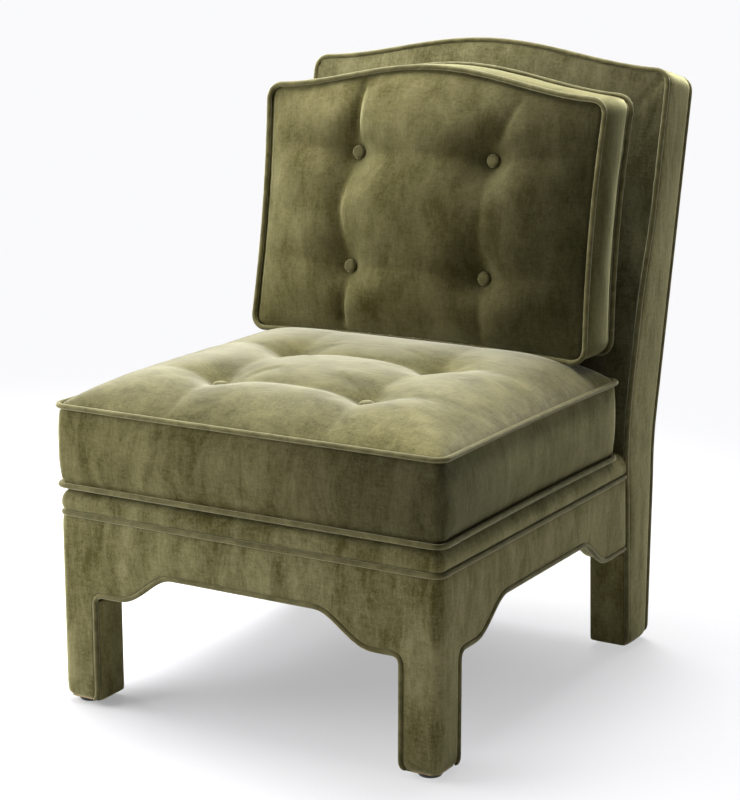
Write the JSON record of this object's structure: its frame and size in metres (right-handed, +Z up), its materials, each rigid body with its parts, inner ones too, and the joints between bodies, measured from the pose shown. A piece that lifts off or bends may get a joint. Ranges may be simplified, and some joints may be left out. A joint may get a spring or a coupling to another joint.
{
  "type": "slipper chair",
  "caption": "Armless slipper chair in olive velvet: tufted loose seat and back cushions, raked padded back with a raised crest, scalloped aprons and square covered legs.",
  "frame": {"origin": "centre of the footprint, on the floor", "axes": "+Z up, -Y towards the sitter's front, +X to the sitter's left when seated"},
  "size_m": [0.6408, 0.8212, 0.9367],
  "materials": {
    "olive_velvet": "olive green cotton velvet with a mottled nap",
    "olive_welt": "cord covered in the same velvet",
    "hardwood": "sawn hardwood",
    "plywood": "plywood",
    "foam": "upholstery foam wrapped in wadding",
    "webbing": "woven elastic webbing",
    "black_cambric": "thin black dust cloth",
    "black_nylon": "black nylon",
    "zip_brass": "tarnished brass"
  },
  "bodies": {
    "frame": {"back_board": "plywood", "back_boxing": "olive_velvet", "back_foam": "foam", "back_front_welt": "olive_welt", "back_leg_sleeve_left": "olive_velvet", "back_leg_sleeve_right": "olive_velvet", "back_post_left": "hardwood", "back_post_right": "hardwood", "back_rear_welt": "olive_welt", "base_cover": "olive_velvet", "base_welt": "olive_welt", "crest_rail": "hardwood", "deck_cover": "olive_velvet", "deck_pad": "foam", "dust_cover": "black_cambric", "front_apron_welt": "olive_welt", "front_corner_block_left": "hardwood", "front_corner_block_right": "hardwood", "front_glide_left": "black_nylon", "front_glide_right": "black_nylon", "front_leg_left": "hardwood", "front_leg_right": "hardwood", "front_leg_sleeve_left": "olive_velvet", "front_leg_sleeve_right": "olive_velvet", "front_rail": "hardwood", "inside_back_cover": "olive_velvet", "outside_back_cover": "olive_velvet", "rear_apron_rail": "hardwood", "rear_apron_welt": "olive_welt", "rear_corner_block_left": "hardwood", "rear_corner_block_right": "hardwood", "rear_glide_left": "black_nylon", "rear_glide_right": "black_nylon", "seat_back_rail": "hardwood", "side_apron_welt_left": "olive_welt", "side_apron_welt_right": "olive_welt", "side_rail_left": "hardwood", "side_rail_right": "hardwood", "webbing_strap_1": "webbing", "webbing_strap_2": "webbing", "webbing_strap_3": "webbing", "webbing_strap_4": "webbing"},
    "seat_cushion": {"seat_cushion_button_1": "olive_velvet", "seat_cushion_button_2": "olive_velvet", "seat_cushion_button_3": "olive_velvet", "seat_cushion_button_4": "olive_velvet", "seat_cushion_core": "foam", "seat_cushion_cover": "olive_velvet", "seat_cushion_welt_base": "olive_welt", "seat_cushion_welt_face": "olive_welt"},
    "back_cushion": {"back_cushion_button_1": "olive_velvet", "back_cushion_button_2": "olive_velvet", "back_cushion_button_3": "olive_velvet", "back_cushion_button_4": "olive_velvet", "back_cushion_core": "foam", "back_cushion_cover": "olive_velvet", "back_cushion_welt_base": "olive_welt", "back_cushion_welt_face": "olive_welt"},
    "seat_zip": {"seat_zip_slider": "zip_brass"},
    "back_zip": {"back_zip_slider": "zip_brass"}
  },
  "joints": [
    {"name": "seat_cushion_slide", "type": "slide", "parent": "frame", "child": "seat_cushion", "axis": [0, -1, 0], "range_m": [0, 0.6]},
    {"name": "back_cushion_lift", "type": "slide", "parent": "frame", "child": "back_cushion", "axis": [0, 0, 1], "range_m": [0, 0.5]},
    {"name": "seat_zip_slide", "type": "slide", "parent": "seat_cushion", "child": "seat_zip", "axis": [-1, 0, 0], "range_m": [0, 0.36]},
    {"name": "back_zip_slide", "type": "slide", "parent": "back_cushion", "child": "back_zip", "axis": [-1, 0, 0], "range_m": [0, 0.36]}
  ]
}
